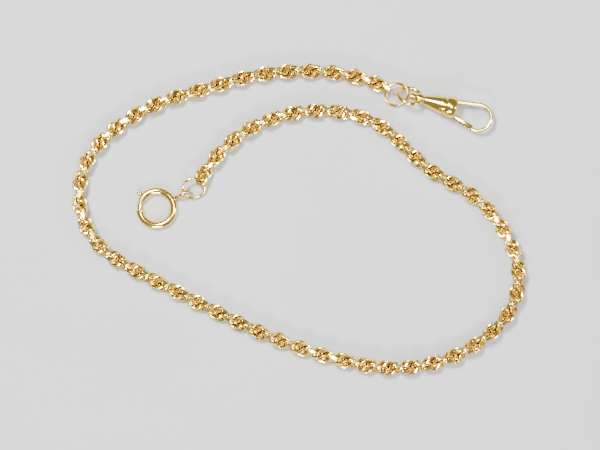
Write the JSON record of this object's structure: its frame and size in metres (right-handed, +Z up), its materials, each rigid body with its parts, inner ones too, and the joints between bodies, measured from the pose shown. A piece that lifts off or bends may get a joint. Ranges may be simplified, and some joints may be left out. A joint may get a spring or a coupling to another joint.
{
  "type": "pocket watch chain",
  "caption": "Gilt rope chain laid out in a folded loop, with a spring ring for the garment end and a swivel hook with a sprung gate for the watch end.",
  "frame": {"origin": "centre of the outline of the chain as laid out, on the surface it lies on", "axes": "+X along the longer side of the laid-out loop, +Y across it towards the swivel hook, +Z up from the surface"},
  "size_m": [0.1084, 0.0746, 0.0054],
  "materials": {
    "rope_gold": "polished gilt wire",
    "fitting_gold": "polished gilt",
    "spring_steel": "bright drawn wire"
  },
  "bodies": {
    "rope_01": {"rope_section_01": "rope_gold"},
    "rope_02": {"rope_section_02": "rope_gold"},
    "rope_03": {"rope_section_03": "rope_gold"},
    "rope_04": {"rope_section_04": "rope_gold"},
    "rope_05": {"rope_section_05": "rope_gold"},
    "rope_06": {"rope_section_06": "rope_gold"},
    "rope_07": {"rope_section_07": "rope_gold"},
    "rope_08": {"rope_section_08": "rope_gold"},
    "rope_09": {"rope_section_09": "rope_gold"},
    "rope_10": {"rope_section_10": "rope_gold"},
    "rope_11": {"rope_section_11": "rope_gold"},
    "rope_12": {"rope_section_12": "rope_gold"},
    "rope_13": {"rope_section_13": "rope_gold"},
    "rope_14": {"rope_section_14": "rope_gold"},
    "rope_15": {"rope_section_15": "rope_gold"},
    "rope_16": {"rope_section_16": "rope_gold"},
    "rope_17": {"rope_section_17": "rope_gold"},
    "rope_18": {"rope_section_18": "rope_gold"},
    "rope_19": {"rope_section_19": "rope_gold"},
    "rope_20": {"rope_section_20": "rope_gold"},
    "rope_21": {"rope_section_21": "rope_gold"},
    "rope_22": {"rope_section_22": "rope_gold"},
    "rope_23": {"rope_section_23": "rope_gold"},
    "rope_24": {"rope_section_24": "rope_gold"},
    "rope_25": {"rope_section_25": "rope_gold"},
    "rope_26": {"rope_section_26": "rope_gold"},
    "rope_27": {"rope_section_27": "rope_gold"},
    "rope_28": {"rope_section_28": "rope_gold"},
    "rope_29": {"rope_section_29": "rope_gold"},
    "rope_30": {"rope_section_30": "rope_gold"},
    "rope_31": {"rope_section_31": "rope_gold"},
    "rope_32": {"rope_section_32": "rope_gold"},
    "rope_33": {"rope_section_33": "rope_gold"},
    "rope_34": {"rope_section_34": "rope_gold"},
    "rope_35": {"rope_section_35": "rope_gold"},
    "rope_36": {"rope_section_36": "rope_gold"},
    "rope_37": {"rope_section_37": "rope_gold"},
    "rope_38": {"rope_section_38": "rope_gold"},
    "rope_39": {"rope_section_39": "rope_gold"},
    "rope_40": {"rope_section_40": "rope_gold"},
    "rope_41": {"rope_section_41": "rope_gold"},
    "rope_42": {"rope_section_42": "rope_gold"},
    "jump_ring_a": {"jump_ring_a": "fitting_gold"},
    "spring_ring": {"spring_ring_body": "fitting_gold", "spring_ring_eye": "fitting_gold", "bolt_spring": "spring_steel"},
    "bolt": {"spring_ring_bolt": "fitting_gold", "thumb_nub": "fitting_gold"},
    "jump_ring_b": {"jump_ring_b": "fitting_gold"},
    "bail": {"swivel_bail": "fitting_gold"},
    "swivel": {"swivel_rivet": "fitting_gold", "swivel_barrel": "fitting_gold", "swivel_cap": "fitting_gold", "hook": "fitting_gold", "gate_pin": "fitting_gold", "gate_spring": "spring_steel"},
    "gate": {"gate": "fitting_gold"}
  },
  "joints": [
    {"name": "jump_ring_a_swing", "type": "hinge", "parent": "rope_01", "child": "jump_ring_a", "pos_m": [-0.02319, 0.00929, 0.00259], "axis": [-0.41, 0.24, 0.88], "range_deg": [-15, 15]},
    {"name": "spring_ring_lift", "type": "hinge", "parent": "jump_ring_a", "child": "spring_ring", "pos_m": [-0.02738, 0.00626, 0.00185], "axis": [-0.4756, 0.8797, 0], "range_deg": [-25, 40]},
    {"name": "jump_ring_b_swing", "type": "hinge", "parent": "rope_42", "child": "jump_ring_b", "pos_m": [0.02093, 0.03109, 0.00268], "axis": [0.6009, -0.2103, 0.7712], "range_deg": [-15, 15]},
    {"name": "bail_swing", "type": "hinge", "parent": "jump_ring_b", "child": "bail", "pos_m": [0.02573, 0.03077, 0.00171], "axis": [-0.1099, 0.4996, 0.8593], "range_deg": [-20, 20]},
    {"name": "bolt_slide", "type": "hinge", "parent": "spring_ring", "child": "bolt", "pos_m": [-0.03399, 0.00271, 0.0009], "axis": [0, 0, -1], "range_deg": [0, 42], "stiffness_Nm_per_rad": 0.0004, "springref_deg": -28.65},
    {"name": "swivel_spin", "type": "hinge", "parent": "bail", "child": "swivel", "pos_m": [0.02634, 0.02941, 0.00275], "axis": [0.9646, -0.2639, 0], "continuous": true},
    {"name": "gate_open", "type": "hinge", "parent": "swivel", "child": "gate", "pos_m": [0.03516, 0.02546, 0.00275], "axis": [0, 0, 1], "range_deg": [0, 18], "stiffness_Nm_per_rad": 0.0006, "springref_deg": -22.92},
    {"name": "bend_01_02", "type": "hinge", "parent": "rope_02", "child": "rope_01", "pos_m": [-0.01923, 0.0155, 0.002], "axis": [0, 0, -1], "range_deg": [-8, 8]},
    {"name": "bend_02_03", "type": "hinge", "parent": "rope_03", "child": "rope_02", "pos_m": [-0.01353, 0.02043, 0.002], "axis": [0.5567, -0.8307, 0], "range_deg": [-8, 8]},
    {"name": "bend_03_04", "type": "hinge", "parent": "rope_04", "child": "rope_03", "pos_m": [-0.00679, 0.02383, 0.002], "axis": [0, 0, 1], "range_deg": [-8, 8]},
    {"name": "bend_04_05", "type": "hinge", "parent": "rope_05", "child": "rope_04", "pos_m": [0.00054, 0.0256, 0.002], "axis": [-0.127, 0.9919, 0], "range_deg": [-8, 8]},
    {"name": "bend_05_06", "type": "hinge", "parent": "rope_06", "child": "rope_05", "pos_m": [0.00809, 0.02574, 0.002], "axis": [0, 0, 1], "range_deg": [-8, 8]},
    {"name": "bend_06_07", "type": "hinge", "parent": "rope_07", "child": "rope_06", "pos_m": [0.01546, 0.02417, 0.002], "axis": [0.3533, 0.9355, 0], "range_deg": [-8, 8]},
    {"name": "bend_07_08", "type": "hinge", "parent": "rope_08", "child": "rope_07", "pos_m": [0.0219, 0.0203, 0.002], "axis": [0, 0, -1], "range_deg": [-8, 8]},
    {"name": "bend_08_09", "type": "hinge", "parent": "rope_09", "child": "rope_08", "pos_m": [0.0273, 0.01501, 0.002], "axis": [-0.6994, -0.7148, 0], "range_deg": [-8, 8]},
    {"name": "bend_09_10", "type": "hinge", "parent": "rope_10", "child": "rope_09", "pos_m": [0.03326, 0.01038, 0.002], "axis": [0, 0, -1], "range_deg": [-8, 8]},
    {"name": "bend_10_11", "type": "hinge", "parent": "rope_11", "child": "rope_10", "pos_m": [0.03981, 0.00661, 0.002], "axis": [-0.5555, -0.8315, 0], "range_deg": [-8, 8]},
    {"name": "bend_11_12", "type": "hinge", "parent": "rope_12", "child": "rope_11", "pos_m": [0.04552, 0.00169, 0.002], "axis": [0, 0, 1], "range_deg": [-6, 7]},
    {"name": "bend_12_13", "type": "hinge", "parent": "rope_13", "child": "rope_12", "pos_m": [0.04976, -0.00454, 0.002], "axis": [0.8938, 0.4484, 0], "range_deg": [-8, 8]},
    {"name": "bend_13_14", "type": "hinge", "parent": "rope_14", "child": "rope_13", "pos_m": [0.05212, -0.01169, 0.002], "axis": [0, 0, 1], "range_deg": [-4, 5]},
    {"name": "bend_14_15", "type": "hinge", "parent": "rope_15", "child": "rope_14", "pos_m": [0.05134, -0.01914, 0.002], "axis": [0.9435, -0.3314, 0], "range_deg": [-8, 8]},
    {"name": "bend_15_16", "type": "hinge", "parent": "rope_16", "child": "rope_15", "pos_m": [0.0473, -0.02545, 0.002], "axis": [0, 0, -1], "range_deg": [-5, 4]},
    {"name": "bend_16_17", "type": "hinge", "parent": "rope_17", "child": "rope_16", "pos_m": [0.04139, -0.03014, 0.002], "axis": [-0.5245, 0.8514, 0], "range_deg": [-8, 8]},
    {"name": "bend_17_18", "type": "hinge", "parent": "rope_18", "child": "rope_17", "pos_m": [0.03457, -0.03336, 0.002], "axis": [0, 0, -1], "range_deg": [-6, 4]},
    {"name": "bend_18_19", "type": "hinge", "parent": "rope_19", "child": "rope_18", "pos_m": [0.02722, -0.03505, 0.002], "axis": [-0.1228, 0.9924, 0], "range_deg": [-8, 8]},
    {"name": "bend_19_20", "type": "hinge", "parent": "rope_20", "child": "rope_19", "pos_m": [0.01967, -0.03522, 0.002], "axis": [0, 0, 1], "range_deg": [-8, 7]},
    {"name": "bend_20_21", "type": "hinge", "parent": "rope_21", "child": "rope_20", "pos_m": [0.01223, -0.03394, 0.002], "axis": [-0.2277, -0.9737, 0], "range_deg": [-8, 8]},
    {"name": "bend_21_22", "type": "hinge", "parent": "rope_21", "child": "rope_22", "pos_m": [0.00492, -0.032, 0.002], "axis": [0, 0, 1], "range_deg": [-8, 8]},
    {"name": "bend_22_23", "type": "hinge", "parent": "rope_22", "child": "rope_23", "pos_m": [-0.00226, -0.02965, 0.002], "axis": [0.3384, 0.941, 0], "range_deg": [-8, 8]},
    {"name": "bend_23_24", "type": "hinge", "parent": "rope_23", "child": "rope_24", "pos_m": [-0.0093, -0.02689, 0.002], "axis": [0, 0, -1], "range_deg": [-8, 8]},
    {"name": "bend_24_25", "type": "hinge", "parent": "rope_24", "child": "rope_25", "pos_m": [-0.01616, -0.02373, 0.002], "axis": [-0.4394, -0.8983, 0], "range_deg": [-8, 8]},
    {"name": "bend_25_26", "type": "hinge", "parent": "rope_25", "child": "rope_26", "pos_m": [-0.02294, -0.02038, 0.002], "axis": [0, 0, -1], "range_deg": [-8, 8]},
    {"name": "bend_26_27", "type": "hinge", "parent": "rope_26", "child": "rope_27", "pos_m": [-0.02968, -0.01695, 0.002], "axis": [-0.4569, -0.8895, 0], "range_deg": [-8, 8]},
    {"name": "bend_27_28", "type": "hinge", "parent": "rope_27", "child": "rope_28", "pos_m": [-0.03639, -0.01347, 0.002], "axis": [0, 0, 1], "range_deg": [-7, 8]},
    {"name": "bend_28_29", "type": "hinge", "parent": "rope_28", "child": "rope_29", "pos_m": [-0.04299, -0.00979, 0.002], "axis": [0.532, 0.8468, 0], "range_deg": [-8, 8]},
    {"name": "bend_29_30", "type": "hinge", "parent": "rope_29", "child": "rope_30", "pos_m": [-0.04869, -0.00489, 0.002], "axis": [0, 0, 1], "range_deg": [-5, 8]},
    {"name": "bend_30_31", "type": "hinge", "parent": "rope_30", "child": "rope_31", "pos_m": [-0.0519, 0.00189, 0.002], "axis": [0.9739, 0.2271, 0], "range_deg": [-8, 8]},
    {"name": "bend_31_32", "type": "hinge", "parent": "rope_31", "child": "rope_32", "pos_m": [-0.05202, 0.00939, 0.002], "axis": [0, 0, -1], "range_deg": [-8, 3]},
    {"name": "bend_32_33", "type": "hinge", "parent": "rope_32", "child": "rope_33", "pos_m": [-0.04902, 0.01627, 0.002], "axis": [-0.8115, 0.5844, 0], "range_deg": [-8, 8]},
    {"name": "bend_33_34", "type": "hinge", "parent": "rope_33", "child": "rope_34", "pos_m": [-0.04371, 0.02162, 0.002], "axis": [0, 0, -1], "range_deg": [-8, 3]},
    {"name": "bend_34_35", "type": "hinge", "parent": "rope_34", "child": "rope_35", "pos_m": [-0.03737, 0.02572, 0.002], "axis": [-0.4759, 0.8795, 0], "range_deg": [-8, 8]},
    {"name": "bend_35_36", "type": "hinge", "parent": "rope_35", "child": "rope_36", "pos_m": [-0.03047, 0.02879, 0.002], "axis": [0, 0, 1], "range_deg": [-4, 8]},
    {"name": "bend_36_37", "type": "hinge", "parent": "rope_36", "child": "rope_37", "pos_m": [-0.02322, 0.03091, 0.002], "axis": [0.2644, -0.9644, 0], "range_deg": [-8, 8]},
    {"name": "bend_37_38", "type": "hinge", "parent": "rope_37", "child": "rope_38", "pos_m": [-0.01594, 0.03295, 0.002], "axis": [0, 0, 1], "range_deg": [-5, 8]},
    {"name": "bend_38_39", "type": "hinge", "parent": "rope_38", "child": "rope_39", "pos_m": [-0.00856, 0.03458, 0.002], "axis": [0.1564, -0.9877, 0], "range_deg": [-8, 8]},
    {"name": "bend_39_40", "type": "hinge", "parent": "rope_39", "child": "rope_40", "pos_m": [-0.00104, 0.03531, 0.002], "axis": [0, 0, -1], "range_deg": [-8, 8]},
    {"name": "bend_40_41", "type": "hinge", "parent": "rope_40", "child": "rope_41", "pos_m": [0.00651, 0.03514, 0.002], "axis": [0.0883, 0.9961, 0], "range_deg": [-8, 8]},
    {"name": "bend_41_42", "type": "hinge", "parent": "rope_41", "child": "rope_42", "pos_m": [0.01397, 0.03392, 0.002], "axis": [0, 0, -1], "range_deg": [-8, 8]}
  ]
}
